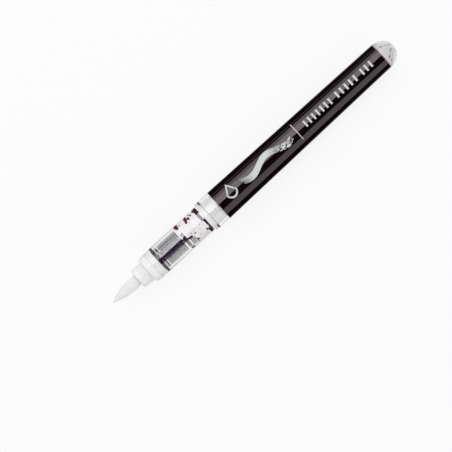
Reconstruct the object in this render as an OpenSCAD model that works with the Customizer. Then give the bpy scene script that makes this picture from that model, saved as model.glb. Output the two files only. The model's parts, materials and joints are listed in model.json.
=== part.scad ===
// Brush pen with a see-through feed section, without its cap.
// It lies on its side along X: the brush points to -X, the closed end of the barrel to +X.
// The widest ring of the barrel touches Z = 0, and X = 0 is halfway along the pen.
// Stations along the pen are measured from the brush's point, in millimetres.

/* [Brush] */
// Diameter of the brush where it is thickest
nib_d = 4.3; // [4:0.1:4.6]
// Length of brush that stands out of the nose
nib_reach = 12; // [10:0.1:14]

/* [Nose] */
// Diameter of the nose at its front edge
nose_d = 7.6; // [7:0.1:7.8]
// Length of the nose ahead of its shoulder
nose_len = 4.1; // [3.5:0.1:6]

/* [Feed section] */
// Outside diameter of the see-through section, which the cap slides over
section_d = 10.6; // [10.4:0.1:11]
// Length of the see-through section, up to its flange
section_len = 25; // [24.5:0.1:30]
// Diameter of the flange that the cap stops against
flange_d = 12.0; // [11.6:0.1:12.1]
// Distance from one fin of the ink collector to the next
fin_pitch = 0.63; // [0.6:0.01:0.65]
// Fins ahead of the collector's sealing disc
front_fins = 13; // [8:1:13]
// Fins behind the collector's sealing disc
rear_fins = 10; // [4:1:10]

/* [Barrel] */
// Outside diameter of the barrel at its open end
barrel_d = 12.1; // [12.1:0.1:12.6]
// Outside diameter of the barrel where its round end begins
tail_d = 10.4; // [10.2:0.1:11.4]
// Length of the barrel's round end
tail_len = 5.8; // [5.4:0.1:7]
// Clear length of barrel between the flange and the film
collar_len = 4.8; // [4.6:0.1:8]
// Length of the black film on the barrel
film_len = 77; // [60:1:90]
// Diameter of the mixing ball
ball_d = 3.2; // [2.6:0.1:3.4]

/* [Hidden] */
$fn = 96;

// Clearances: between pieces pushed together for good, and between pieces that slide apart
push_gap = 0.02;
slide_gap = 0.03;

// Stations
shoulder_len = 2.9;
flange_t = 1.6;
nose_x = nib_reach;
shoulder_x = nose_x + nose_len;
section_x = shoulder_x + shoulder_len;
flange_x = section_x + section_len;
mouth_x = flange_x + flange_t;
film_x = mouth_x + collar_len;
tail_x = film_x + film_len;
pen_len = tail_x + tail_len;

// Feed section
section_bore_r = 4.4;
nose_plug_len = 2.8;
gasket_x = section_x + nose_plug_len;
gasket_t = 1.15;
housing_plug_r = 4.95;
housing_plug_len = 2.8;
housing_end_x = mouth_x + housing_plug_len;

// Brush and the bore that holds it
shank_r = 2.0;
shank_x = nose_x + 4.4;
shank_end_x = gasket_x - 0.2;
point_r = 0.12;

// Collector: one moulding with a boss, two discs, two rows of fins and a tail tube
core_r = 1.9;
comb_r = 2.3;
wick_r = 1.0;
fin_r = 4.3;
fin_t = 0.48;
front_disc_x = gasket_x + gasket_t + 0.3;
front_disc_t = 0.95;
front_fins_x = front_disc_x + front_disc_t + 0.4;
rear_disc_x = front_disc_x + 10.05;
rear_disc_t = 1.2;
rear_fins_x = rear_disc_x + rear_disc_t + 0.6;
rear_gasket_x = flange_x - 1.75;
rear_gasket_t = 1.45;
plug_x = rear_gasket_x + rear_gasket_t;
tail_tube_end_x = plug_x + 0.9;

// Reservoir plug and the wick's tail, which reaches into the reservoir
plug_flange_r = 4.75;
plug_end_x = film_x - 0.3;
wick_end_x = film_x + 5.4;

// Barrel: straight bore at the mouth, tapered reservoir, conical end inside a round tail
film_t = 0.08;
mouth_bore_r = housing_plug_r + slide_gap;
reservoir_r = 4.9;
tail_wall = 0.85;
core_end_r = 0.5;
core_end_x = pen_len - 1.1;
core_cone_x = tail_x - 0.4;

// Mixing ball: it rests at the front of the reservoir, a little clear of the wall and the plug
ball_gap = 0.25;
ball_x = plug_end_x + ball_d / 2 + 0.3;

// Outside and inside radius of the barrel at a station
function barrel_r(x) = barrel_d / 2 + (tail_d - barrel_d) / 2 * (x - mouth_x) / (tail_x - mouth_x);
function bore_r(x) = reservoir_r + (tail_d / 2 - tail_wall - reservoir_r) * (x - film_x) / film_len;

// Points of an arc about [x, r], from one angle to another
function arc(x, r, radius, from, to, steps) =
    [for (i = [0:steps]) let (a = from + (to - from) * i / steps) [x + radius * cos(a), r + radius * sin(a)]];

// Outline of a disc on the collector's core
function disc(x, thickness, radius) =
    [[x, core_r], [x, radius], [x + thickness, radius], [x + thickness, core_r]];

// Outline of a row of fins, which stand on a thicker part of the core
function fin_row(x, count) = [for (i = [0:count - 1]) let (front = x + i * fin_pitch) each [
    [front, i == 0 ? core_r : comb_r], [front, fin_r],
    [front + fin_t, fin_r], [front + fin_t, i == count - 1 ? core_r : comb_r]
]];

// Puts what is drawn about the X axis, with the brush's point at the origin, where the pen lies
module in_place() {
    translate([-pen_len / 2, 0, barrel_d / 2]) children();
}

// Turns an outline of [station, radius] points about the pen's axis
module turned(outline) {
    rotate([0, 90, 0]) rotate_extrude() polygon([for (p = outline) [p[1], p[0]]]);
}

// Soft pointed brush: an ogive, a straight body and a thinner shank inside the nose
module brush_nib() {
    full_r = nib_d / 2;
    ogive_len = nib_reach * 0.78;
    body_r = full_r - 0.04;
    rise = full_r - point_r;
    ogive_r = (pow(ogive_len - point_r, 2) + rise * rise) / (2 * rise);
    point_angle = asin((ogive_len - point_r) / ogive_r);
    color("white") in_place() turned(concat(
        [[0, 0], [0.03, point_r * 0.7]],
        arc(ogive_len, full_r - ogive_r, ogive_r, 90 + point_angle, 90, 16),
        [
            [nose_x, body_r], [shank_x, body_r], [shank_x + 0.2, shank_r],
            [shank_end_x - 0.5, shank_r], [shank_end_x, shank_r / 2], [shank_end_x, 0]
        ]
    ));
}

// White nose: a stepped cone, bored for the brush with four air channels, on a plug for the section
module nose_cone() {
    edge_r = 0.55;
    nib_bore_r = nib_d / 2 + 0.1;
    shank_bore_r = shank_r + slide_gap;
    step_x = shank_x + 0.25;
    channel_w = 0.6;
    channel_r = nib_bore_r + 0.25;
    round_r = 0.5;
    plug_r = section_bore_r - push_gap;
    color("whitesmoke") in_place() difference() {
        turned(concat(
            [[nose_x + 0.25, nib_bore_r], [nose_x, nib_bore_r + 0.25]],
            arc(nose_x + edge_r, nose_d / 2 - edge_r, edge_r, 180, 90, 6),
            [[shoulder_x, nose_d / 2 + 0.2], [shoulder_x + 0.25, nose_d / 2 + 0.45]],
            arc(shoulder_x + 0.45 + round_r, section_d / 2 - 0.18 - round_r, round_r, 155, 90, 6),
            [
                [shoulder_x + 2.1, section_d / 2], [section_x, section_d / 2], [section_x, plug_r], [gasket_x - 0.2, plug_r],
                [gasket_x, plug_r - 0.2], [gasket_x, shank_bore_r], [step_x + 0.2, shank_bore_r],
                [step_x, nib_bore_r]
            ]
        ));
        for (turn = [45:90:315])
            rotate([turn, 0, 0]) translate([nose_x + 0.8, -channel_w / 2, 0])
                cube([gasket_x - nose_x, channel_w, channel_r]);
    }
}

// Washer with rounded rims, between two stations
module gasket(x, thickness) {
    outer_r = section_bore_r - push_gap;
    inner_r = core_r + push_gap;
    rim_r = 0.3;
    in_place() turned(concat(
        [[x, inner_r]],
        arc(x + rim_r, outer_r - rim_r, rim_r, 180, 90, 4),
        arc(x + thickness - rim_r, outer_r - rim_r, rim_r, 90, 0, 4),
        [[x + thickness, inner_r]]
    ));
}

module front_gasket() {
    color("black") gasket(gasket_x, gasket_t);
}

module rear_gasket() {
    color("black") gasket(rear_gasket_x, rear_gasket_t);
}

// Clear tube with a flange and, behind it, the plug that pushes into the barrel
module feed_housing() {
    color([0.9, 0.93, 0.95, 0.35]) in_place() turned([
        [section_x, section_bore_r], [section_x, section_d / 2], [flange_x, section_d / 2],
        [flange_x, flange_d / 2 - 0.15], [flange_x + 0.15, flange_d / 2],
        [mouth_x - 0.15, flange_d / 2], [mouth_x, flange_d / 2 - 0.15], [mouth_x, housing_plug_r],
        [housing_end_x - 0.3, housing_plug_r], [housing_end_x, housing_plug_r - 0.3],
        [housing_end_x, section_bore_r]
    ]);
}

// Comb that holds spare ink between its fins, with a capillary slit and an air groove along it
module collector() {
    bore = wick_r + push_gap;
    slit_w = 0.2;
    groove_w = 1.0;
    groove_r = fin_r - 0.7;
    groove_x = front_disc_x - 0.2;
    groove_len = rear_fins_x + rear_fins * fin_pitch + 0.4 - groove_x;
    color("dimgray") in_place() difference() {
        turned(concat(
            [[gasket_x + 0.05, bore], [gasket_x + 0.05, core_r]],
            disc(front_disc_x, front_disc_t, section_bore_r - push_gap),
            fin_row(front_fins_x, front_fins),
            disc(rear_disc_x, rear_disc_t, section_bore_r - push_gap),
            fin_row(rear_fins_x, rear_fins),
            [[tail_tube_end_x, core_r], [tail_tube_end_x, bore]]
        ));
        translate([groove_x, core_r - 0.3, -slit_w / 2]) cube([groove_len, fin_r, slit_w]);
        translate([groove_x, -groove_r - fin_r, -groove_w / 2]) cube([groove_len, fin_r, groove_w]);
    }
}

// Fibre rod that carries ink from the reservoir to the back of the brush
module feed_wick() {
    front_x = shank_end_x + 0.05;
    color("ivory") in_place() turned([
        [front_x, 0], [front_x, wick_r - 0.15], [front_x + 0.15, wick_r],
        [wick_end_x - 0.4, wick_r], [wick_end_x, wick_r - 0.4], [wick_end_x, 0]
    ]);
}

// White plug that closes the reservoir around the wick, with a funnel on its reservoir side
module reservoir_plug() {
    body_r = section_bore_r - push_gap;
    recess_r = core_r + push_gap;
    recess_end_x = tail_tube_end_x + 0.05;
    throat_r = 1.5;
    funnel_r = 3.6;
    color("white") in_place() turned([
        [plug_x, recess_r], [plug_x, body_r], [housing_end_x, body_r],
        [housing_end_x, plug_flange_r], [plug_end_x - 0.2, plug_flange_r],
        [plug_end_x, plug_flange_r - 0.2], [plug_end_x, funnel_r],
        [housing_end_x, throat_r], [recess_end_x, throat_r], [recess_end_x, recess_r]
    ]);
}

// Clear barrel, closed at its round end, with a shallow seat for the film
module barrel() {
    color([0.9, 0.93, 0.95, 0.35]) in_place() turned(concat(
        [
            [mouth_x, mouth_bore_r + 0.2], [mouth_x, barrel_d / 2 - 0.15],
            [mouth_x + 0.15, barrel_r(mouth_x + 0.15)], [film_x, barrel_r(film_x)],
            [film_x, barrel_r(film_x) - film_t], [tail_x, tail_d / 2 - film_t]
        ],
        [for (a = [90:-4.5:0]) [tail_x + tail_len * cos(a), tail_d / 2 * sin(a)]],
        [
            [core_end_x, 0], [core_end_x - 0.2, core_end_r], [core_cone_x, bore_r(core_cone_x)],
            [film_x, reservoir_r], [film_x - 0.1, mouth_bore_r], [mouth_x + 0.2, mouth_bore_r]
        ]
    ));
}

// Black film wrapped round the barrel, flush with the clear plastic at both ends
module barrel_film() {
    color("black") in_place() turned([
        [film_x, barrel_r(film_x) - film_t], [film_x, barrel_r(film_x)],
        [tail_x, tail_d / 2], [tail_x, tail_d / 2 - film_t]
    ]);
}

// Steel ball that stirs the ink, on the low side of the reservoir
module mixing_ball() {
    drop = bore_r(ball_x) - ball_gap - ball_d / 2;
    color("silver") in_place() translate([ball_x, 0, -drop]) sphere(ball_d / 2);
}

brush_nib();
nose_cone();
front_gasket();
feed_housing();
collector();
feed_wick();
rear_gasket();
reservoir_plug();
barrel();
barrel_film();
mixing_ball();
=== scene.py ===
"""The looks of a brush pen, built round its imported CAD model. Metres; the pen lies along X, its brush at -X."""

import json
import math
import random

import bmesh
import bpy
from mathutils import Matrix, Vector, noise

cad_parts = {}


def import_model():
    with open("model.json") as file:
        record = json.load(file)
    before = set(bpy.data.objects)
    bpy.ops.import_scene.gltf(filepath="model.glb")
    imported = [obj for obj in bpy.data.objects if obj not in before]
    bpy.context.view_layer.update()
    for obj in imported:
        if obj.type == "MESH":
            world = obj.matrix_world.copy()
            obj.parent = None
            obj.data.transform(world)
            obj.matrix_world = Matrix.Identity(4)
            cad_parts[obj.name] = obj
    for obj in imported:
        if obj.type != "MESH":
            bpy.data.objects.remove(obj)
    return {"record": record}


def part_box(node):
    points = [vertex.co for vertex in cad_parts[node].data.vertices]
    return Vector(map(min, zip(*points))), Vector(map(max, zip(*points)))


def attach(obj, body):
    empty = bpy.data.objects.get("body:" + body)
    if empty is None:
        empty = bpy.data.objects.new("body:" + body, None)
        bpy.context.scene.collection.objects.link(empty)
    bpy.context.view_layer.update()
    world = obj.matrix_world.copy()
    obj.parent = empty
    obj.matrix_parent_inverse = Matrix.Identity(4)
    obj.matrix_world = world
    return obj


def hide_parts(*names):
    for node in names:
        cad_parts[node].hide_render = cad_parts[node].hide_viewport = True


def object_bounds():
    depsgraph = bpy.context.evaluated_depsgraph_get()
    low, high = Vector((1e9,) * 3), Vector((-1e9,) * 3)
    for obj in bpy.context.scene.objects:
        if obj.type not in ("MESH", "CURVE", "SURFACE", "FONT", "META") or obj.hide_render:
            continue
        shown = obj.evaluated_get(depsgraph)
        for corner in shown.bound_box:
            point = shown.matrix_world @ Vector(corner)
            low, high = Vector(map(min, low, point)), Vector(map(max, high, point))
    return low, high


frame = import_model()
CAD_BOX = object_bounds()

MM = 0.001
AXIS_Z = (CAD_BOX[0].z + CAD_BOX[1].z) / 2
SEGMENTS = 192


# ---- Places, read from the frame ----

def ends(node):
    """Where a node starts and ends along the pen."""
    low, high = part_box(node)
    return low.x, high.x


def radius(node):
    """A node's largest radius about the pen's axis."""
    low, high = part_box(node)
    return (high.z - low.z) / 2


def mount(name):
    return next(m for m in frame["record"]["mounts"] if m["name"] == name)


TIP_X, SHANK_END_X = ends("brush_nib")
NOSE_X, NOSE_END_X = ends("nose_cone")
SECTION_X, HOUSING_END_X = ends("feed_housing")
FLANGE_X = mount("cap_stop")["pos_m"][0]
MOUTH_X, PEN_END_X = ends("barrel")
FILM_X, TAIL_X = ends("barrel_film")
REAR_GASKET_X, PLUG_X = ends("rear_gasket")
PLUG_END_X = ends("reservoir_plug")[1]

SECTION_R = mount("cap_seat")["dims"]["r_mm"] * MM
FLANGE_R = radius("feed_housing")
BARREL_R = radius("barrel")
TAIL_R = 5.2 * MM
TAIL_LEN = PEN_END_X - TAIL_X
SEAL_R = radius("front_gasket")
SECTION_BORE_R = SEAL_R + 0.02 * MM
PRESSED_R = SECTION_BORE_R + 0.02 * MM  # a piece pressed or wetted against the clear bore, with no air between
MOUTH_BORE_R = 4.98 * MM
HOUSING_PLUG_R = MOUTH_BORE_R - 0.03 * MM
RESERVOIR_R = 4.9 * MM
TAIL_WALL = 0.85 * MM
FILM_T = 0.08 * MM
CORE_R = 1.9 * MM
WICK_R = radius("feed_wick")


def barrel_r(x):
    """The barrel's outside radius, which tapers from its mouth to its round tail."""
    return BARREL_R + (TAIL_R - BARREL_R) * (x - MOUTH_X) / (TAIL_X - MOUTH_X)


def reservoir_r(x):
    return RESERVOIR_R + (TAIL_R - TAIL_WALL - RESERVOIR_R) * (x - FILM_X) / (TAIL_X - FILM_X)


# ---- Shapes ----

def point(x, r, angle):
    """A point on a turned surface. Angle 0 is the top of the pen and grows towards -Y."""
    return (x, -r * math.sin(angle), AXIS_Z + r * math.cos(angle))


def finished(name, verts, faces, smooth_deg=35):
    """A new piece with its faces turned outward."""
    mesh = bpy.data.meshes.new(name)
    mesh.from_pydata(verts, [], faces)
    mesh.validate()
    bm = bmesh.new()
    bm.from_mesh(mesh)
    bmesh.ops.recalc_face_normals(bm, faces=bm.faces)
    bm.to_mesh(mesh)
    bm.free()
    mesh.shade_smooth()
    mesh.set_sharp_from_angle(angle=math.radians(smooth_deg))
    piece = bpy.data.objects.new(name, mesh)
    bpy.context.scene.collection.objects.link(piece)
    return piece


def rounded(outline, size, ring=False, steps=4):
    """The outline with each corner rounded off by about size."""
    result = []
    count = len(outline)
    for i, corner in enumerate(outline):
        p = Vector(corner)
        if not ring and i in (0, count - 1):
            result.append(tuple(p))
            continue
        before, after = Vector(outline[i - 1]) - p, Vector(outline[(i + 1) % count]) - p
        if before.length * after.length == 0 or before.normalized().dot(after.normalized()) < -0.96:
            result.append(tuple(p))
            continue
        start = p + before.normalized() * min(size, before.length * 0.4)
        end = p + after.normalized() * min(size, after.length * 0.4)
        for k in range(steps + 1):
            s = k / steps
            result.append(tuple(start * (1 - s) ** 2 + p * 2 * s * (1 - s) + end * s * s))
    return result


def arc(x, r, size, start, stop, steps):
    """Outline points on an arc about (x, r), between two angles in degrees."""
    turns = [math.radians(start + (stop - start) * i / steps) for i in range(steps + 1)]
    return [(x + size * math.cos(a), r + size * math.sin(a)) for a in turns]


def lathe(name, outline, segments=SEGMENTS, carve=None):
    """Turns an outline of (x, radius) points about the pen's axis: a solid if it starts and ends on the axis, otherwise
    a ring. carve(x, r, angle) can change the radius."""
    solid = outline[0][1] == 0 and outline[-1][1] == 0
    rows = outline[1:-1] if solid else outline
    verts, faces = [], []
    for x, r in rows:
        for k in range(segments):
            angle = 2 * math.pi * k / segments
            verts.append(point(x, carve(x, r, angle) if carve else r, angle))
    for i in range(len(rows) - 1 if solid else len(rows)):
        j = (i + 1) % len(rows)
        for k in range(segments):
            m = (k + 1) % segments
            faces.append((i * segments + k, i * segments + m, j * segments + m, j * segments + k))
    if solid:
        first, last = len(verts), len(verts) + 1
        verts += [point(outline[0][0], 0, 0), point(outline[-1][0], 0, 0)]
        base = (len(rows) - 1) * segments
        for k in range(segments):
            m = (k + 1) % segments
            faces += [(first, m, k), (last, base + k, base + m)]
    return finished(name, verts, faces)


def coat(name, x_start, x_stop, r_of, thickness, open_at, step):
    """A thin coat on a bore, whose outer side is r_of(x), left out wherever open_at(x, angle) is true."""
    rows = max(2, round((x_stop - x_start) / step))
    segments = round(2 * math.pi * r_of(x_start) / step)
    xs = [x_start + (x_stop - x_start) * i / rows for i in range(rows + 1)]
    angles = [2 * math.pi * k / segments for k in range(segments)]
    inner = (rows + 1) * segments
    verts = [point(x, r_of(x), a) for x in xs for a in angles]
    verts += [point(x, r_of(x) - thickness, a) for x in xs for a in angles]
    here = [
        [not open_at((xs[i] + xs[i + 1]) / 2, angles[k] + math.pi / segments) for k in range(segments)]
        for i in range(rows)
    ]
    faces = []
    for i in range(rows):
        for k in range(segments):
            if not here[i][k]:
                continue
            m = (k + 1) % segments
            a, b, c, d = i * segments + k, i * segments + m, (i + 1) * segments + m, (i + 1) * segments + k
            faces += [(a, b, c, d), (a + inner, d + inner, c + inner, b + inner)]
            if not here[i][k - 1]:
                faces.append((a, d, d + inner, a + inner))
            if not here[i][m]:
                faces.append((b, b + inner, c + inner, c))
            if i == 0 or not here[i - 1][k]:
                faces.append((a, a + inner, b + inner, b))
            if i == rows - 1 or not here[i + 1][k]:
                faces.append((d, c, c + inner, d + inner))
    used = sorted({v for f in faces for v in f})
    place = {v: n for n, v in enumerate(used)}
    return finished(name, [verts[v] for v in used], [tuple(place[v] for v in f) for f in faces], 50)


# ---- Materials ----

def new_material(name):
    material = bpy.data.materials.new(name)
    material.use_nodes = True
    nodes = material.node_tree.nodes
    shader = nodes["Principled BSDF"] if "Principled BSDF" in nodes else nodes.new("ShaderNodeBsdfPrincipled")
    return material, shader


def add(material, kind, **values):
    """A new node with its inputs and settings given by name; _ stands for a space in an input's name."""
    made = material.node_tree.nodes.new(kind)
    for name, value in values.items():
        spoken = name.replace("_", " ")
        if spoken in made.inputs:
            made.inputs[spoken].default_value = value
        else:
            setattr(made, name, value)
    return made


def join(material, source, target):
    material.node_tree.links.new(source, target)


def sum_of(material, operation, first, second=None):
    """The result of one step of arithmetic on a socket and, where it takes two, a number or another socket."""
    made = add(material, "ShaderNodeMath", operation=operation)
    join(material, first, made.inputs[0])
    if isinstance(second, float):
        made.inputs[1].default_value = second
    elif second:
        join(material, second, made.inputs[1])
    return made.outputs["Value"]


def pattern(material, scale, stretch=(1, 1, 1), detail=4.0, roughness=0.55):
    """Noise in the piece's own coordinates, in metres, squeezed along each axis by stretch."""
    where = add(material, "ShaderNodeTexCoord")
    squeeze = add(material, "ShaderNodeMapping")
    squeeze.inputs["Scale"].default_value = stretch
    made = add(material, "ShaderNodeTexNoise", Scale=scale, Detail=detail, Roughness=roughness)
    join(material, where.outputs["Object"], squeeze.inputs["Vector"])
    join(material, squeeze.outputs["Vector"], made.inputs["Vector"])
    return made.outputs["Fac"]


def between(material, factor, low, high, start=0.35, stop=0.65):
    """A number that runs from low to high as the factor runs from start to stop."""
    made = add(material, "ShaderNodeMapRange", From_Min=start, From_Max=stop, To_Min=low, To_Max=high)
    join(material, factor, made.inputs["Value"])
    return made.outputs["Result"]


def shades(material, factor, low, high, start=0.35, stop=0.65):
    """A colour that runs from low to high as the factor runs from start to stop."""
    made = add(material, "ShaderNodeValToRGB")
    made.color_ramp.elements[0].position = start
    made.color_ramp.elements[0].color = (*low, 1)
    made.color_ramp.elements[1].position = stop
    made.color_ramp.elements[1].color = (*high, 1)
    join(material, factor, made.inputs["Fac"])
    return made.outputs["Color"]


def bumped(material, shader, height, strength, distance):
    made = add(material, "ShaderNodeBump", Strength=strength, Distance=distance)
    join(material, height, made.inputs["Height"])
    join(material, made.outputs["Normal"], shader.inputs["Normal"])


def clear_plastic(name, shine, tint):
    """Clear moulded plastic with faint handling haze. Light from lamps reaches what is inside it."""
    material, shader = new_material(name)
    shader.inputs["Base Color"].default_value = (tint, tint, tint, 1)
    shader.inputs["Specular IOR Level"].default_value = shine
    shader.inputs["Transmission Weight"].default_value = 1
    shader.inputs["IOR"].default_value = 1.49
    haze = pattern(material, 260, stretch=(0.3, 1, 1))
    join(material, between(material, haze, 0.0, 0.05), shader.inputs["Roughness"])
    path = add(material, "ShaderNodeLightPath")
    either = sum_of(material, "MAXIMUM", path.outputs["Is Shadow Ray"], path.outputs["Is Diffuse Ray"])
    window = add(material, "ShaderNodeBsdfTransparent", Color=(0.965, 0.967, 0.97, 1))
    mix = add(material, "ShaderNodeMixShader")
    join(material, either, mix.inputs["Fac"])
    join(material, shader.outputs["BSDF"], mix.inputs[1])
    join(material, window.outputs["BSDF"], mix.inputs[2])
    join(material, mix.outputs["Shader"], material.node_tree.nodes["Material Output"].inputs["Surface"])
    return material


# The brown of a painted rim sheen on the film's +Y side, and the turn from the top that it centres on
FILM_RIM_SHEEN = (0.036, 0.011, 0.003)
RIM_SHEEN_TURN = math.radians(81)
SIDE_TURN = math.radians(86)


def film_black():
    """Glossy black film with very fine handling marks, and a warm brown rim sheen painted into its colour along its +Y
    side.
    """
    material, shader = new_material("film_black")
    marks = pattern(material, 420, stretch=(0.15, 1, 1), detail=6)
    where = add(material, "ShaderNodeTexCoord")
    split = add(material, "ShaderNodeSeparateXYZ")
    join(material, where.outputs["Object"], split.inputs["Vector"])
    height = sum_of(material, "SUBTRACT", split.outputs["Z"], AXIS_Z)
    turn = sum_of(material, "ARCTAN2", split.outputs["Y"], height)
    from_rim_sheen = sum_of(material, "ABSOLUTE", sum_of(material, "SUBTRACT", turn, RIM_SHEEN_TURN))
    either_side = sum_of(material, "ABSOLUTE", sum_of(material, "SUBTRACT", sum_of(material, "ABSOLUTE", turn), SIDE_TURN))
    # Painted rim sheen: brown added to the film's colour near its +Y side
    painted_rim_sheen = add(material, "ShaderNodeVectorMath", operation="MULTIPLY_ADD")
    painted_rim_sheen.inputs[1].default_value = FILM_RIM_SHEEN
    join(material, between(material, from_rim_sheen, 1, 0, math.radians(3), math.radians(10)), painted_rim_sheen.inputs[0])
    join(material, shades(material, marks, (0.003, 0.0013, 0.002), (0.0055, 0.0028, 0.004)), painted_rim_sheen.inputs[2])
    join(material, painted_rim_sheen.outputs["Vector"], shader.inputs["Base Color"])
    shine = between(material, either_side, 0.1, 1, math.radians(8), math.radians(20))
    join(material, shine, shader.inputs["Specular IOR Level"])
    join(material, between(material, marks, 0.02, 0.055), shader.inputs["Roughness"])
    shader.inputs["IOR"].default_value = 1.5
    shader.inputs["Specular Tint"].default_value = (1.0, 0.855, 0.885, 1)
    bumped(material, shader, pattern(material, 900, detail=2), 0.04, 0.02 * MM)
    return material


def white_plastic():
    """White moulded plastic, a little translucent, with a fine moulded skin."""
    material, shader = new_material("white_plastic")
    cloud = pattern(material, 300, detail=3)
    join(material, shades(material, cloud, (0.70, 0.69, 0.692), (0.74, 0.73, 0.732)), shader.inputs["Base Color"])
    join(material, between(material, cloud, 0.28, 0.4), shader.inputs["Roughness"])
    shader.inputs["Subsurface Weight"].default_value = 0.15
    shader.inputs["Subsurface Radius"].default_value = (1.0, 0.9, 0.85)
    shader.inputs["Subsurface Scale"].default_value = 0.6 * MM
    bumped(material, shader, pattern(material, 2600, detail=2), 0.12, 0.02 * MM)
    return material


def brush_fibre():
    """Fine white fibres that run along the brush, with a little painted shade in the valleys between them."""
    material, shader = new_material("brush_fibre")
    fibres = pattern(material, 5200, stretch=(0.05, 1, 1), detail=3)
    # Painted shade: the colour darkens where the same noise sinks the bump between the fibres
    join(material, shades(material, fibres, (0.64, 0.63, 0.635), (0.70, 0.69, 0.695), 0.3, 0.6), shader.inputs["Base Color"])
    join(material, between(material, fibres, 0.65, 0.85), shader.inputs["Roughness"])
    shader.inputs["Sheen Weight"].default_value = 0.2
    shader.inputs["Sheen Roughness"].default_value = 0.5
    bumped(material, shader, fibres, 0.18, 0.02 * MM)
    return material


def collector_plastic():
    """Dark slate plastic, wetted by ink, with a thin milky bloom here and there."""
    material, shader = new_material("collector_plastic")
    bloom = pattern(material, 700, detail=5)
    join(material, shades(material, bloom, (0.030, 0.017, 0.042), (0.06, 0.042, 0.07), 0.4, 0.75), shader.inputs["Base Color"])
    join(material, between(material, bloom, 0.03, 0.08), shader.inputs["Roughness"])
    shader.inputs["IOR"].default_value = 1.8
    shader.inputs["Specular IOR Level"].default_value = 1.0
    shader.inputs["Coat Weight"].default_value = 1.0
    bumped(material, shader, pattern(material, 3000, detail=2), 0.03, 0.01 * MM)
    return material


def seal_rubber(name, shine):
    material, shader = new_material(name)
    grain = pattern(material, 2200, detail=4)
    join(material, shades(material, grain, (0.014, 0.003, 0.014), (0.028, 0.009, 0.028)), shader.inputs["Base Color"])
    join(material, between(material, grain, 0.06, 0.14), shader.inputs["Roughness"])
    shader.inputs["Specular IOR Level"].default_value = shine
    bumped(material, shader, grain, 0.06, 0.01 * MM)
    return material


def wick_fibre():
    """Pressed cream fibres along the wick."""
    material, shader = new_material("wick_fibre")
    fibres = pattern(material, 4200, stretch=(0.06, 1, 1), detail=4)
    join(material, shades(material, fibres, (0.55, 0.52, 0.45), (0.74, 0.71, 0.64)), shader.inputs["Base Color"])
    join(material, between(material, fibres, 0.75, 0.95), shader.inputs["Roughness"])
    bumped(material, shader, fibres, 0.5, 0.05 * MM)
    return material


def ball_steel():
    """Polished steel with fine scratches from rolling in pigment."""
    material, shader = new_material("ball_steel")
    shader.inputs["Metallic"].default_value = 1
    scratches = pattern(material, 1800, stretch=(1, 0.15, 0.4), detail=5)
    join(material, shades(material, scratches, (0.50, 0.50, 0.51), (0.66, 0.66, 0.67)), shader.inputs["Base Color"])
    join(material, between(material, scratches, 0.08, 0.28), shader.inputs["Roughness"])
    bumped(material, shader, scratches, 0.06, 0.02 * MM)
    return material


def white_ink(name, low, high):
    """White pigment ink, streaked where it has run down the wall."""
    material, shader = new_material(name)
    runs = pattern(material, 900, stretch=(1, 0.25, 0.25), detail=5)
    join(material, shades(material, runs, low, high), shader.inputs["Base Color"])
    join(material, between(material, runs, 0.25, 0.45), shader.inputs["Roughness"])
    bumped(material, shader, runs, 0.2, 0.04 * MM)
    return material


def thin_ink():
    """A thin lilac smear of ink over black rubber."""
    material, shader = new_material("thin_ink")
    smear = pattern(material, 1200, stretch=(1, 0.3, 0.3), detail=4)
    join(material, shades(material, smear, (0.17, 0.135, 0.165), (0.30, 0.26, 0.29)), shader.inputs["Base Color"])
    join(material, between(material, smear, 0.3, 0.5), shader.inputs["Roughness"])
    return material


def brown_adhesive():
    """Brown adhesive, thicker and thinner along the film's edge."""
    material, shader = new_material("brown_adhesive")
    beads = pattern(material, 1500, detail=3)
    join(material, shades(material, beads, (0.10, 0.04, 0.015), (0.18, 0.08, 0.035)), shader.inputs["Base Color"])
    join(material, between(material, beads, 0.3, 0.5), shader.inputs["Roughness"])
    return material


def dark_residue(name, low, high):
    """Dried dark traces of ink."""
    material, shader = new_material(name)
    stain = pattern(material, 1500, detail=4)
    join(material, shades(material, stain, low, high), shader.inputs["Base Color"])
    join(material, between(material, stain, 0.15, 0.3), shader.inputs["Roughness"])
    shader.inputs["Specular IOR Level"].default_value = 0.25
    return material


def white_print():
    """White printing ink, slightly uneven."""
    material, shader = new_material("white_print")
    cover = pattern(material, 2400, detail=5)
    join(material, shades(material, cover, (0.45, 0.465, 0.475), (0.53, 0.545, 0.555), 0.3, 0.6), shader.inputs["Base Color"])
    join(material, between(material, cover, 0.4, 0.6), shader.inputs["Roughness"])
    bumped(material, shader, cover, 0.1, 0.01 * MM)
    return material


CLEAR = clear_plastic("clear_plastic", 0.15, 0.98)
CLEAR_BRIGHT = clear_plastic("clear_plastic_polished", 1.0, 0.98)
FILM, WHITE, FIBRE = film_black(), white_plastic(), brush_fibre()
COLLECTOR, WICK, STEEL = collector_plastic(), wick_fibre(), ball_steel()
RUBBER, WET_RUBBER = seal_rubber("seal_rubber", 1.0), seal_rubber("seal_rubber_wet", 0.15)
INK = white_ink("white_ink", (0.66, 0.64, 0.655), (0.76, 0.75, 0.755))
TAIL_INK = white_ink("thinned_white_ink", (0.54, 0.52, 0.535), (0.66, 0.645, 0.655))
THIN_INK, PRINT = thin_ink(), white_print()
RESIDUE = dark_residue("dark_residue", (0.045, 0.002, 0.022), (0.12, 0.006, 0.055))
GREY_RESIDUE = dark_residue("grey_residue", (0.03, 0.02, 0.024), (0.09, 0.07, 0.08))
ADHESIVE = brown_adhesive()


def dress(piece, material, body, node=None):
    """Gives a piece its material and its body and, where it has them and the node it stands for."""
    piece.data.materials.clear()
    piece.data.materials.append(material)
    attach(piece, body)
    if node:
        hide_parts(node)
    return piece


# ---- The brush and the nose ----

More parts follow.
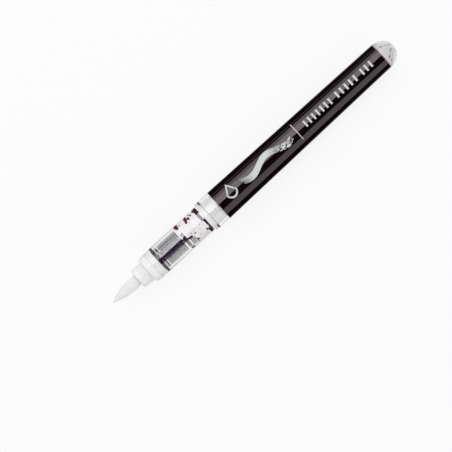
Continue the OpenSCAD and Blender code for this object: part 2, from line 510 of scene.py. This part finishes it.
NIB_R = radius("brush_nib")
NIB_BODY_R = NIB_R - 0.04 * MM
SHANK_R = 2.0 * MM
SHANK_X = NOSE_X + 4.4 * MM
OGIVE_LEN = (NOSE_X - TIP_X) * 0.78
POINT_R = 0.12 * MM


def brush():
    """The brush: an ogive of fine fibres, and its shank inside the nose."""
    rise = NIB_R - POINT_R
    length = OGIVE_LEN - POINT_R
    curve_r = (length**2 + rise**2) / (2 * rise)
    start = math.degrees(math.asin(length / curve_r))
    ogive = arc(TIP_X + OGIVE_LEN, NIB_R - curve_r, curve_r, 90 + start, 90, 40)
    outline = [(TIP_X, 0), (TIP_X + 0.03 * MM, POINT_R * 0.7)] + ogive
    outline += [(NOSE_X, NIB_BODY_R), (SHANK_X, NIB_BODY_R), (SHANK_X + 0.2 * MM, SHANK_R)]
    outline += [(SHANK_END_X - 0.5 * MM, SHANK_R), (SHANK_END_X, SHANK_R / 2), (SHANK_END_X, 0)]

    def groove(x, r, angle):
        """Shallow valleys between the fibres, which wander a little along the brush."""
        wander = 0.15 * math.sin((x - TIP_X) / (2.2 * MM)) + 0.1 * math.sin(angle * 3)
        ridge = math.sin(72 * (angle + wander * 0.08)) * 0.6 + math.sin(47 * angle + wander * 4) * 0.4
        return r * (1 - 0.004 * (1 + ridge))

    dress(lathe("brush_tip", outline, 384, groove), FIBRE, "nib", "brush_nib")


def nose():
    """The white nose: a stepped cone with a plug that is pressed into the clear section."""
    nose_r = 3.8 * MM
    shoulder_x = NOSE_X + 4.1 * MM
    round_r = 0.5 * MM
    bore_r = NIB_R + 0.1 * MM
    shank_bore_r = SHANK_R + 0.03 * MM
    channel_r = bore_r + 0.25 * MM
    channel_half = 0.3 * MM
    step_x = SHANK_X + 0.25 * MM
    face = [(NOSE_X + 0.25 * MM, bore_r), (NOSE_X, bore_r + 0.25 * MM)]
    face += arc(NOSE_X + 0.55 * MM, nose_r - 0.55 * MM, 0.55 * MM, 180, 90, 10)
    rim = [(shoulder_x, nose_r + 0.2 * MM), (shoulder_x + 0.12 * MM, nose_r + 0.27 * MM)]
    rim += [(shoulder_x + 0.25 * MM, nose_r + 0.46 * MM)]
    rim += arc(shoulder_x + 0.45 * MM + round_r, SECTION_R - 0.18 * MM - round_r, round_r, 155, 90, 10)
    rim += [(shoulder_x + 2.1 * MM, SECTION_R)]
    plug = [(SECTION_X - 0.04 * MM, SECTION_R), (SECTION_X, SECTION_R - 0.04 * MM), (SECTION_X, PRESSED_R)]
    plug += [(NOSE_END_X - 0.2 * MM, PRESSED_R), (NOSE_END_X, SEAL_R - 0.2 * MM), (NOSE_END_X, shank_bore_r)]
    bore = [(step_x + 0.2 * MM, shank_bore_r), (step_x, bore_r), (NOSE_X + 0.8 * MM, bore_r)]
    bore += [(NOSE_X + 0.78 * MM, bore_r)]

    def channels(x, r, angle):
        """Four air channels along the bore."""
        off = (angle - math.pi / 4) % (math.pi / 2)
        off = min(off, math.pi / 2 - off)
        inside = r <= bore_r + 0.01 * MM and x >= NOSE_X + 0.79 * MM
        return channel_r if inside and off * r < channel_half else r

    piece = lathe("nose", face + rim + plug + bore, SEGMENTS, channels)
    dress(piece, WHITE, "front_unit", "nose_cone")


# ---- The feed section ----

def seal(name, node, rubber):
    """A black rubber washer squeezed between the core and the clear bore."""
    start, stop = ends(node)
    inner_r = CORE_R + 0.02 * MM
    outline = [(start, inner_r), (start, PRESSED_R), (stop, PRESSED_R), (stop, inner_r)]
    dress(lathe(name, rounded(outline, 0.22 * MM, ring=True)), rubber, "front_unit", node)


def section_tube():
    """The clear tube with its flange and the plug that pushes into the barrel."""
    outline = [
        (SECTION_X, SECTION_BORE_R), (SECTION_X, SECTION_R), (FLANGE_X, SECTION_R), (FLANGE_X, FLANGE_R),
        (MOUTH_X, FLANGE_R), (MOUTH_X, HOUSING_PLUG_R), (HOUSING_END_X, HOUSING_PLUG_R),
        (HOUSING_END_X, SECTION_BORE_R),
    ]
    piece = lathe("section_tube", rounded(outline, 0.16 * MM, ring=True), 256)
    dress(piece, CLEAR_BRIGHT, "front_unit", "feed_housing")


FIN_PITCH = 0.63 * MM
FIN_T = 0.48 * MM
FIN_R = 4.3 * MM
FRONT_FINS, REAR_FINS = 13, 10
COMB_R = 2.3 * MM
FRONT_DISC_X = ends("front_gasket")[1] + 0.3 * MM
FRONT_DISC_T = 0.95 * MM
REAR_DISC_X = FRONT_DISC_X + 10.05 * MM
REAR_DISC_T = 1.2 * MM
FRONT_FINS_X = FRONT_DISC_X + FRONT_DISC_T + 0.4 * MM
REAR_FINS_X = REAR_DISC_X + REAR_DISC_T + 0.6 * MM
TAIL_TUBE_END_X = ends("collector")[1]


def disc(x, thickness, r, front_r=CORE_R, back_r=CORE_R):
    """A disc on the collector's core, with its rim's edges broken."""
    edge = 0.05 * MM
    return [
        (x, front_r), (x, r - edge), (x + edge, r), (x + thickness - edge, r),
        (x + thickness, r - edge), (x + thickness, back_r),
    ]


def fin_row(x, count):
    """A row of fins, which stand on a thicker part of the core."""
    outline = []
    for i in range(count):
        front_r = COMB_R if i else CORE_R
        back_r = COMB_R if i < count - 1 else CORE_R
        outline += disc(x + i * FIN_PITCH, FIN_T, FIN_R, front_r, back_r)
    return outline


def ink_collector():
    """The comb of fins, with its capillary slit on one side and its air groove on the other."""
    bore_r = WICK_R + 0.02 * MM
    start = ends("collector")[0]
    outline = [(start, bore_r), (start, CORE_R)] + disc(FRONT_DISC_X, FRONT_DISC_T, SEAL_R)
    outline += fin_row(FRONT_FINS_X, FRONT_FINS)
    outline += disc(REAR_DISC_X, REAR_DISC_T, SEAL_R)
    outline += fin_row(REAR_FINS_X, REAR_FINS)
    outline += [(TAIL_TUBE_END_X, CORE_R), (TAIL_TUBE_END_X, bore_r)]
    slit_half, slit_r = 0.1 * MM, CORE_R - 0.3 * MM
    groove_half, groove_r = 0.5 * MM, FIN_R - 0.7 * MM

    def cuts(x, r, angle):
        """The slit faces +Y and the groove -Y."""
        if r <= CORE_R and not FRONT_DISC_X - 0.2 * MM < x < REAR_FINS_X + REAR_FINS * FIN_PITCH:
            return r
        side, up = -math.sin(angle), abs(math.cos(angle))
        if side > 0 and r > slit_r and up * r < slit_half:
            return slit_r
        if side < 0 and r > groove_r and up * r < groove_half:
            return groove_r
        return r

    piece = lathe("ink_collector", outline, 288, cuts)
    dress(piece, COLLECTOR, "front_unit", "collector")


def wick():
    start, stop = ends("feed_wick")
    outline = [(start, 0), (start, WICK_R - 0.15 * MM), (start + 0.15 * MM, WICK_R)]
    outline += [(stop - 0.4 * MM, WICK_R), (stop, WICK_R - 0.4 * MM), (stop, 0)]

    def flutes(x, r, angle):
        return r * (1 - 0.012 * (1 + math.sin(24 * angle)) / 2)

    piece = lathe("wick_rod", rounded(outline, 0.1 * MM), 144, flutes)
    dress(piece, WICK, "front_unit", "feed_wick")


def plug():
    """The white plug round the wick, with its funnel on the reservoir side."""
    flange_r = radius("reservoir_plug")
    throat_r = 1.5 * MM
    recess_r = CORE_R + 0.02 * MM
    recess_end = TAIL_TUBE_END_X + 0.05 * MM
    outline = [
        (PLUG_X, recess_r), (PLUG_X, PRESSED_R), (HOUSING_END_X, PRESSED_R), (HOUSING_END_X, flange_r),
        (PLUG_END_X, flange_r), (PLUG_END_X, 3.6 * MM), (HOUSING_END_X, throat_r), (recess_end, throat_r),
        (recess_end, recess_r),
    ]
    piece = lathe("end_plug", rounded(outline, 0.12 * MM, ring=True))
    dress(piece, WHITE, "front_unit", "reservoir_plug")


# ---- The barrel ----

CORE_END_R = 0.5 * MM
CORE_END_X = PEN_END_X - 1.1 * MM
CORE_CONE_X = TAIL_X - 0.4 * MM


def barrel():
    """The clear barrel: one moulding with a round tail and a cone at the end of its bore."""
    edge = 0.12 * MM
    seat_r = barrel_r(FILM_X) - FILM_T
    outside = [(MOUTH_X, MOUTH_BORE_R + 0.2 * MM), (MOUTH_X, BARREL_R - edge), (MOUTH_X + edge, barrel_r(MOUTH_X + edge))]
    outside += [(FILM_X, barrel_r(FILM_X)), (FILM_X, seat_r), (TAIL_X, TAIL_R - FILM_T)]
    turns = [math.radians(90 - 2 * i) for i in range(45)]
    tail = [(TAIL_X + TAIL_LEN * math.cos(a), TAIL_R * math.sin(a)) for a in turns]
    inside = [(CORE_END_X - 0.2 * MM, CORE_END_R), (CORE_CONE_X, reservoir_r(CORE_CONE_X))]
    inside += [(FILM_X, RESERVOIR_R), (FILM_X - 0.1 * MM, MOUTH_BORE_R), (MOUTH_X + 0.2 * MM, MOUTH_BORE_R)]
    cone = rounded([(CORE_END_X, 0)] + inside[:3], 0.5 * MM)[:-1]
    piece = lathe_shell("barrel_shell", outside + tail, cone + inside[2:])
    dress(piece, CLEAR, "barrel", "barrel")


def lathe_shell(name, outside, inside):
    """A turned cup: its outside runs to the axis at the tail, and its inside starts there and runs back to the mouth."""
    segments = 256
    rows = outside + inside[1:]
    verts, faces = [], []
    for x, r in rows:
        verts += [point(x, r, 2 * math.pi * k / segments) for k in range(segments)]
    outer_tip, inner_tip = len(verts), len(verts) + 1
    verts += [point(PEN_END_X, 0, 0), point(inside[0][0], 0, 0)]
    last_outer, first_inner = len(outside) - 1, len(outside)
    for i in range(len(rows)):
        j = (i + 1) % len(rows)
        for k in range(segments):
            m = (k + 1) % segments
            if i == last_outer:
                faces.append((i * segments + k, i * segments + m, outer_tip))
                faces.append((first_inner * segments + m, first_inner * segments + k, inner_tip))
            else:
                faces.append((i * segments + k, i * segments + m, j * segments + m, j * segments + k))
    return finished(name, verts, faces)


def film():
    """The black film, flush in its seat on the barrel."""
    inner, outer = -FILM_T + 0.005 * MM, 0.0
    outline = [(FILM_X, barrel_r(FILM_X) + inner), (FILM_X, barrel_r(FILM_X) + outer)]
    outline += [(TAIL_X, TAIL_R + outer), (TAIL_X, TAIL_R + inner)]
    piece = lathe("film_sleeve", rounded(outline, 0.02 * MM, ring=True), 256)
    dress(piece, FILM, "barrel", "barrel_film")


def ball():
    """The steel ball, finely divided."""
    low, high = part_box("mixing_ball")
    centre, r = (low + high) / 2, (high.x - low.x) / 2
    rows, segments = 48, 96
    verts, faces = [centre + Vector((-r, 0, 0)), centre + Vector((r, 0, 0))], []
    for i in range(1, rows):
        turn = math.pi * i / rows
        for k in range(segments):
            a = 2 * math.pi * k / segments
            across = r * math.sin(turn)
            verts.append(centre + Vector((-r * math.cos(turn), across * math.sin(a), across * math.cos(a))))
    for k in range(segments):
        m = (k + 1) % segments
        faces += [(0, 2 + k, 2 + m), (1, 2 + (rows - 2) * segments + m, 2 + (rows - 2) * segments + k)]
        for i in range(rows - 2):
            a, b = 2 + i * segments, 2 + (i + 1) * segments
            faces.append((a + k, b + k, b + m, a + m))
    dress(finished("steel_ball", verts, faces), STEEL, "ball", "mixing_ball")


# ---- Ink on the walls ----

def ragged(x, angle, size):
    """Noise over a bore, from about -1 to 1, whose lumps are about size across."""
    r = SECTION_BORE_R / size
    return noise.noise(Vector((x / size, r * math.sin(angle), r * math.cos(angle))))


def signed(angle):
    """An angle from -180 to 180 degrees, from the top of the pen towards -Y."""
    return math.degrees((angle + math.pi) % (2 * math.pi) - math.pi)


# Along the rear chamber, in mm behind the rear disc's front face, by degrees from the top towards -Y:
# where its ink starts, where it stops, its gaps (with their half size) and the stains (half length, half width)
INK_FRONT = [(-180, 4.6), (-112, 4.3), (-104, -0.3), (-24, -0.6), (2, -0.6), (5, 1.3), (13, 1.35), (16, 3.0), (25, 3.1), (28, 3.8)]
INK_FRONT += [(58, 4.0), (64, 1.0), (96, 0.5), (104, 4.3), (180, 4.6)]
INK_BACK = [(-180, 8.9), (-1, 8.95), (1, 9.55), (30, 9.68), (42, 9.6), (44, 8.85), (180, 8.9)]
INK_GAPS = [(4.7, 9, 0.16), (6.5, 12, 0.14), (7.7, 4, 0.14), (5.9, 41, 0.2), (2.2, -58, 0.3), (6.6, -74, 0.3)]
STAINS = [
    (0.77, -66, 0.62, 1.25), (2.22, -58, 0.2, 0.2), (5.08, -66, 0.55, 0.85), (4.85, -53, 0.36, 0.6),
    (4.62, -43, 0.42, 0.45), (6.13, -55, 0.38, 0.5), (6.2, -45, 0.12, 0.4), (7.37, -59, 0.28, 0.35),
    (7.1, -66, 0.14, 0.3), (6.6, -74, 0.16, 0.25), (8.72, -67, 0.26, 0.75), (4.08, 53, 0.4, 0.3),
    (3.86, 64, 0.18, 0.3), (0.5, 73, 0.24, 0.55), (1.15, 73, 0.24, 0.55), (5.95, 41, 0.13, 0.15),
    (8.6, 44, 0.24, 0.55), (3.4, 9, 0.16, 0.16), (4.6, 20, 0.3, 0.16), (10.5, 64, 0.12, 0.2),
    (2.5, 20, 0.7, 0.2), (3.9, 47, 0.16, 0.5),
]


def table(rows, degrees):
    """The value between the rows of a table, in metres."""
    for (a, low), (b, high) in zip(rows, rows[1:]):
        if a <= degrees <= b:
            return (low + (high - low) * (degrees - a) / (b - a)) * MM
    return 0


def rough(x, angle):
    return ragged(x, angle, 1.1 * MM) * 0.9 + ragged(x, angle, 0.35 * MM) * 0.45


def near(x, angle, blots, start):
    """How deep inside one of the blots a place on the bore is: 1 at its middle, 0 or less outside."""
    best = -1.0
    for along, turn, length, width in blots:
        across = math.radians(signed(angle) - turn) * SECTION_BORE_R / (width * MM)
        best = max(best, 1 - math.hypot(across, (x - start - along * MM) / (length * MM)))
    return best


def chamber_ink():
    """White ink on the wall of the section's rear chamber, with a ragged front edge and gaps."""
    gaps = [(along, turn, size, size) for along, turn, size in INK_GAPS]

    def open_at(x, angle):
        turn, behind = signed(angle), x - REAR_DISC_X
        if behind < table(INK_FRONT, turn) + rough(x, angle) * 0.3 * MM:
            return True
        if -22 < turn < 6 and -0.02 * MM < behind < REAR_DISC_T + 0.02 * MM:
            return True
        if behind > table(INK_BACK, turn) + rough(x, angle) * 0.1 * MM:
            return not (-38 < turn < -1 and behind > 9.95 * MM)
        return near(x, angle, gaps, REAR_DISC_X) > 0.3 * rough(x, angle)

    start, stop = REAR_DISC_X - 0.8 * MM, REAR_GASKET_X + 1.5 * MM
    piece = coat("chamber_ink", start, stop, lambda x: PRESSED_R + 0.01 * MM, 0.06 * MM, open_at, 0.12 * MM)
    dress(piece, INK, "front_unit")

    def off_the_seal(x, angle):
        return not (-37 < signed(angle) < 1 and x - REAR_DISC_X < 10 * MM)

    piece = coat("ink_smear", REAR_GASKET_X, stop, lambda x: PRESSED_R + 0.03 * MM, 0.04 * MM, off_the_seal, 0.12 * MM)
    dress(piece, THIN_INK, "front_unit")


def stains():
    """Dark traces on the chamber's wall, over the white ink."""

    def open_at(x, angle):
        return near(x, angle, STAINS, REAR_DISC_X) < 0.45 * rough(x, angle) - 0.2

    start, stop = REAR_DISC_X - 0.3 * MM, REAR_DISC_X + 11 * MM
    piece = coat("chamber_stains", start, stop, lambda x: PRESSED_R + 0.05 * MM, 0.05 * MM, open_at, 0.08 * MM)
    dress(piece, RESIDUE, "front_unit")


def cone_r(x):
    """The radius of the cone at the end of the reservoir."""
    start_r, stop_x = reservoir_r(CORE_CONE_X), CORE_END_X - 0.2 * MM
    return start_r + (CORE_END_R - start_r) * (x - CORE_CONE_X) / (stop_x - CORE_CONE_X)


# Traces on the cone: mm behind the end of the film, degrees, half length, half width
TAIL_STAINS = [
    (1.67, -49, 0.3, 0.42), (3.53, 15, 0.35, 0.4), (3.95, -53, 0.3, 0.25), (4.2, 70, 0.2, 0.3), (1.75, 41, 0.26, 0.34),
    (1.6, 70, 0.26, 0.42),
]
TAIL_STAINS += [(1.9 + 0.25 * i, -49 - 0.5 * i, 0.18, 0.15) for i in range(9)]
TAIL_STAINS += [(2.0 + 0.25 * i, 38 - 4 * i, 0.18, 0.15) for i in range(6)]


def tail_stains():
    """Dark traces on the cone, seen through the clear tail."""

    def open_at(x, angle):
        return near(x, angle, TAIL_STAINS, TAIL_X) < 0.1 + 0.35 * rough(x, angle)

    start, stop = CORE_CONE_X + 0.6 * MM, CORE_END_X - 0.3 * MM
    piece = coat("tail_stains", start, stop, lambda x: cone_r(x) + 0.06 * MM, 0.04 * MM, open_at, 0.06 * MM)
    dress(piece, GREY_RESIDUE, "barrel")


def joint_stains():
    """Dark traces in the groove between the flange and the barrel, low on both sides."""
    half = 0.3 * MM

    def open_at(x, angle):
        turn = signed(angle)
        wobble = 4 * ragged(x, angle, 0.5 * MM)
        return not (-78 < turn + wobble < -46 or 50 < turn + wobble < 76)

    piece = coat("joint_stains", MOUTH_X - half, MOUTH_X + half, lambda x: FLANGE_R - 0.01 * MM, 0.1 * MM, open_at, 0.08 * MM)
    dress(piece, RESIDUE, "barrel")


def film_edge():
    """The brown edge of the film's adhesive at the tail."""
    start, stop = TAIL_X - 0.05 * MM, TAIL_X + 0.18 * MM
    outline = [(start, TAIL_R - FILM_T), (start, TAIL_R), (stop, TAIL_R - 0.005 * MM), (stop, TAIL_R - FILM_T)]
    dress(lathe("film_edge", rounded(outline, 0.02 * MM, ring=True)), ADHESIVE, "barrel")


def reservoir_ink():
    """White ink on the reservoir's wall, and a thinner ink in the cone at its end."""
    wet, thickness = 0.02 * MM, 0.08 * MM
    front_x, joint_x = PLUG_END_X + 0.1 * MM, CORE_CONE_X - 1.0 * MM
    joint_r = reservoir_r(joint_x)
    outer = [(joint_x, joint_r + wet), (FILM_X, RESERVOIR_R + wet), (front_x, RESERVOIR_R + wet)]
    inner = [(front_x, RESERVOIR_R - thickness), (FILM_X, RESERVOIR_R - thickness), (joint_x, joint_r - thickness)]
    dress(lathe("reservoir_ink", outer + inner, 192), INK, "barrel")
    corners = [(CORE_END_X, 0), (CORE_END_X - 0.2 * MM, CORE_END_R), (CORE_CONE_X, reservoir_r(CORE_CONE_X))]
    cone = rounded(corners + [(FILM_X, RESERVOIR_R)], 0.5 * MM)[:-1]
    outer = [(x + wet, r + (wet if r else 0)) for x, r in cone] + [(joint_x, joint_r + wet)]
    inner = [(joint_x, joint_r - thickness)]
    inner += [(x - thickness, r - thickness) for x, r in reversed(cone) if r > thickness]
    inner.append((CORE_END_X - thickness, 0))
    dress(lathe("tail_ink", outer + inner, 192), TAIL_INK, "barrel")


# ---- Printing ----

PRINT_LIFT = 0.012 * MM
PRINT_STEP = 0.2 * MM


def on_film(x, across, lift):
    """A point on the film at a distance across from the top line, measured round the barrel towards -Y."""
    r = barrel_r(x)
    return point(x, r + lift, across / r)


def printed(name, strips):
    """Thin white print. Each strip is a list of stations (x, left edge, right edge) along and across the film."""
    verts, faces = [], []
    for strip in strips:
        columns = max(1, round(max(b - a for _, a, b in strip) / PRINT_STEP))
        base = len(verts)
        for lift in (0.002 * MM, PRINT_LIFT):
            for x, a, b in strip:
                verts += [on_film(x, a + (b - a) * c / columns, lift) for c in range(columns + 1)]
        width, top = columns + 1, len(strip) * (columns + 1)
        for i in range(len(strip) - 1):
            for c in range(columns):
                a = base + i * width + c
                faces += [(a, a + 1, a + width + 1, a + width)]
                faces += [(a + top, a + top + width, a + top + width + 1, a + top + 1)]
            for c in (0, columns):
                a = base + i * width + c
                faces.append((a, a + width, a + width + top, a + top))
        for i in (0, len(strip) - 1):
            for c in range(columns):
                a = base + i * width + c
                faces.append((a, a + 1, a + 1 + top, a + top))
    return dress(finished(name, verts, faces), PRINT, "barrel")


def drop(across, size):
    """The top and the bottom of a drop shape, across from its middle line, or nothing beyond its sides."""
    r = 2.3 * size
    if abs(across) >= r:
        return None
    return -3.9 * size * (1 - abs(across) / r) ** 1.15, math.sqrt(r * r - across * across)


def print_drop():
    """An outlined drop."""
    middle_x, middle, step, small = 56.8, -0.4, 0.13, 0.7
    outer_top, outer_bottom, whole = [], [], []
    strips = []
    count = int(2.29 / step)
    for i in range(-count, count + 1):
        x = i * step
        out, hole = drop(x, 1), drop(x, small)
        at = TIP_X + (middle_x + x) * MM
        top, bottom = (out[0] + middle) * MM, (out[1] + middle) * MM
        if hole:
            outer_top.append((at, top, (hole[0] + middle) * MM))
            outer_bottom.append((at, (hole[1] + middle) * MM, bottom))
        else:
            whole.append((i, (at, top, bottom)))
    strips += [outer_top, outer_bottom]
    strips.append([row for i, row in whole if i < 0])
    strips.append([row for i, row in whole if i > 0])
    return strips


def print_stroke():
    """A wavy brush stroke that dries out into separate bristles."""
    rng = random.Random(4)
    strips = []
    for k in range(8):
        offset = (k - 3.5) * 0.3
        x, end = 61.4 + rng.uniform(0, 1.0), 85.4 - rng.uniform(0, 3.0)
        dry = rng.uniform(76, 80)
        while x < end:
            stop = min(end, x + (rng.uniform(0.8, 2.4) if x > dry else dry + 1.5 - x))
            steps = max(2, int((stop - x) / 0.3))
            strip = []
            for i in range(steps + 1):
                at = x + (stop - x) * i / steps
                wave = -0.75 + 1.25 * math.sin(2 * math.pi * (at - 61.4) / 17)
                half = 0.15 * min(1, 0.25 + 3 * i / steps, 0.25 + 3 * (steps - i) / steps)
                strip.append((TIP_X + at * MM, (wave + offset - half) * MM, (wave + offset + half) * MM))
            strips.append(strip)
            x = stop + rng.uniform(0.15, 0.6)
    return strips


def print_marks():
    """A thin cross line and three groups of plain bars."""
    strips = [[(TIP_X + 87.55 * MM, -4.3 * MM, 3.1 * MM), (TIP_X + 87.83 * MM, -4.3 * MM, 3.1 * MM)]]
    for start, stop, count in ((90.9, 104.4, 7), (105.7, 116.4, 5), (117.6, 123.6, 3)):
        pitch = (stop - start) / count
        for i in range(count):
            x = TIP_X + (start + pitch * (i + 0.3)) * MM
            width = pitch * 0.36 * MM
            strips.append([(x, -1.8 * MM, 0.7 * MM), (x + width, -1.8 * MM, 0.7 * MM)])
    return strips


# ---- Build ----

brush()
nose()
seal("front_seal", "front_gasket", RUBBER)
section_tube()
ink_collector()
wick()
seal("rear_seal", "rear_gasket", WET_RUBBER)
plug()
barrel()
film()
ball()
chamber_ink()
stains()
tail_stains()
joint_stains()
film_edge()
reservoir_ink()
printed("print_drop", print_drop())
printed("print_stroke", print_stroke())
printed("print_marks", print_marks())


# ---- The stage ----

FLOOR_TILT = math.atan2(BARREL_R - TAIL_R, TAIL_X - MOUTH_X)


def floor():
    """A pale, faintly glowing table, level with the barrel's tapered side."""
    half, strip, strip_half = 3.0, 0.01, 0.08
    outer = [(-half, -half), (half, -half), (half, half), (-half, half)]
    inner = [(-strip_half, -strip), (strip_half, -strip), (strip_half, strip), (-strip_half, strip)]
    material, shader = new_material("table_top")
    shader.inputs["Base Color"].default_value = (0.09, 0.09, 0.09, 1)
    shader.inputs["Roughness"].default_value = 0.9
    shader.inputs["Emission Color"].default_value = (1, 1, 1, 1)
    shader.inputs["Emission Strength"].default_value = 0.85
    verts = [(x, y, (x - MOUTH_X) * math.tan(FLOOR_TILT)) for x, y in outer + inner]
    around = [(i, (i + 1) % 4, 4 + (i + 1) % 4, 4 + i) for i in range(4)]
    for name, faces, in_gloss in (("table", around, False), ("table_under_pen", [(4, 5, 6, 7)], True)):
        mesh = bpy.data.meshes.new(name)
        mesh.from_pydata(verts, [], faces)
        mesh.materials.append(material)
        piece = bpy.data.objects.new(name, mesh)
        bpy.context.scene.collection.objects.link(piece)
        piece.visible_glossy = in_gloss


def softbox(name, from_deg, to_deg, distance, start_x, stop_x, strength):
    """A long softbox beside the pen, which covers a range of angles from the vertical, towards +Y if negative."""
    middle, half = math.radians((from_deg + to_deg) / 2), math.radians((to_deg - from_deg) / 2)
    light = bpy.data.lights.new(name, "AREA")
    light.shape = "RECTANGLE"
    light.size = stop_x - start_x
    light.size_y = 2 * distance * math.tan(half)
    # An area lamp's power is spread over its area and over pi of angle
    light.energy = strength * math.pi * light.size * light.size_y
    piece = bpy.data.objects.new(name, light)
    bpy.context.scene.collection.objects.link(piece)
    away = Vector((0, -math.sin(middle), math.cos(middle)))
    place = Vector(((start_x + stop_x) / 2, 0, AXIS_Z)) + away * distance
    across = Vector((1, 0, 0))
    piece.matrix_world = Matrix.Translation(place) @ Matrix((across, away.cross(across), away)).transposed().to_4x4()
    piece.visible_camera = False
    return piece


def fill():
    """A faint light from the right, which softens the shaded side and shows in no reflection."""
    piece = softbox("fill", 30, 80, 0.8, -0.25, 0.33, 0.22)
    piece.visible_glossy = False
    piece.visible_transmission = False


def world():
    """An even pale surround. It lights the pen less than it shows behind it."""
    made = bpy.data.worlds.new("studio")
    bpy.context.scene.world = made
    made.use_nodes = True
    nodes, links = made.node_tree.nodes, made.node_tree.links
    sky = nodes["Background"]
    path = nodes.new("ShaderNodeLightPath")
    strength = nodes.new("ShaderNodeMapRange")
    strength.inputs["To Min"].default_value = 0.95
    strength.inputs["To Max"].default_value = 0.77
    links.new(path.outputs["Is Diffuse Ray"], strength.inputs["Value"])
    links.new(strength.outputs["Result"], sky.inputs["Strength"])
    sky.inputs["Color"].default_value = (1, 1, 1, 1)
    made.cycles_visibility.glossy = False
    made.cycles_visibility.transmission = False


def camera():
    """Straight down, about a metre up, with the pen pointing to the lower left."""
    distance = 1.0
    frame_width = 158.2 * MM
    roll = math.radians(42.56)
    right = Vector((math.cos(roll), -math.sin(roll), 0))
    up = Vector((math.sin(roll), math.cos(roll), 0))
    pen_right, pen_up = 9.42 * MM, 18.18 * MM
    lens = bpy.data.cameras.new("camera")
    lens.sensor_width = 36
    lens.lens = lens.sensor_width * distance / frame_width
    lens.clip_start, lens.clip_end = 0.01, 50
    piece = bpy.data.objects.new("camera", lens)
    bpy.context.scene.collection.objects.link(piece)
    place = Vector((0, 0, AXIS_Z + distance)) - right * pen_right - up * pen_up
    turn = Matrix((right, up, Vector((0, 0, 1)))).transposed().to_4x4()
    piece.matrix_world = Matrix.Translation(place) @ turn
    bpy.context.scene.camera = piece


floor()
softbox("softbox_left", -69, -4, 0.6, -0.25, 0.33, 1.05)
softbox("softbox_left_centre", -46, -4, 0.61, -0.25, 0.3, 1.0)
softbox("softbox_right", 42, 88, 0.6, -0.25, 0.3, 0.8)
softbox("softbox_edge", -89, -85, 0.6, -0.25, 0.3, 0.6)
fill()
world()
camera()
bpy.context.scene.view_settings.view_transform = "Standard"
